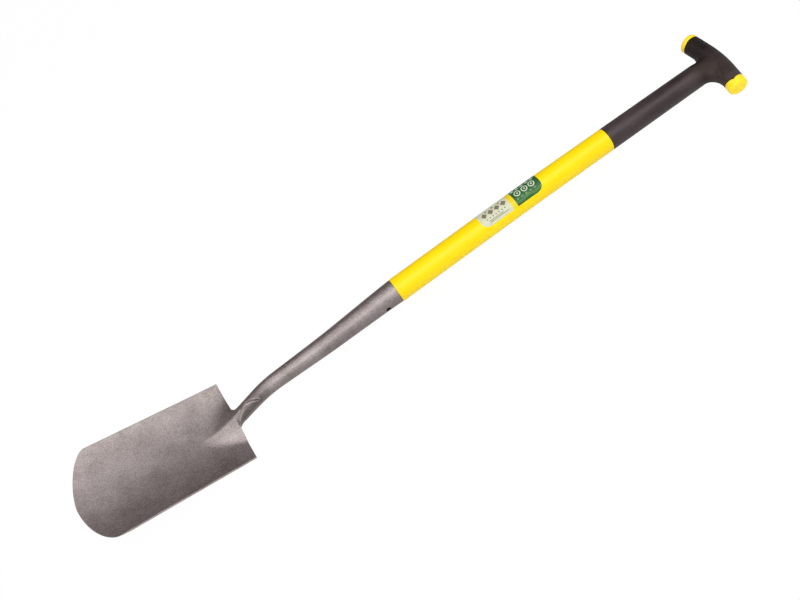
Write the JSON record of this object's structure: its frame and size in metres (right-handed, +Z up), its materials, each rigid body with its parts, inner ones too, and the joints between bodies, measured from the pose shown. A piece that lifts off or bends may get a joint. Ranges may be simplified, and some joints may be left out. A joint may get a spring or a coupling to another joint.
{
  "type": "digging spade",
  "caption": "Long spade with a dished steel blade, raised frog, cranked neck and rolled socket on a jacketed round shaft, with a T grip that has capped ends.",
  "frame": {"origin": "bottom centre of the spade's box, on the floor that it lies on", "axes": "+X along the shaft from the blade to the grip, +Y to the spade's left, +Z up, out of the blade's hollow front"},
  "size_m": [1.1478, 0.1596, 0.0706],
  "materials": {
    "hammered_steel": "warm grey hammered paint, semi-gloss",
    "pin_steel": "black oxide, matt",
    "yellow_jacket": "yellow polypropylene, satin",
    "glass_fibre": "cream pultruded glass fibre",
    "hardwood": "plain beech",
    "black_grip": "black plastic, matt",
    "yellow_cap": "yellow plastic, satin"
  },
  "bodies": {
    "root": {"blade_and_socket": "hammered_steel", "socket_pin": "pin_steel", "shaft_jacket": "yellow_jacket", "shaft_core": "glass_fibre", "core_dowel": "hardwood", "grip": "black_grip", "cap_left": "yellow_cap", "cap_right": "yellow_cap"}
  },
  "joints": []
}
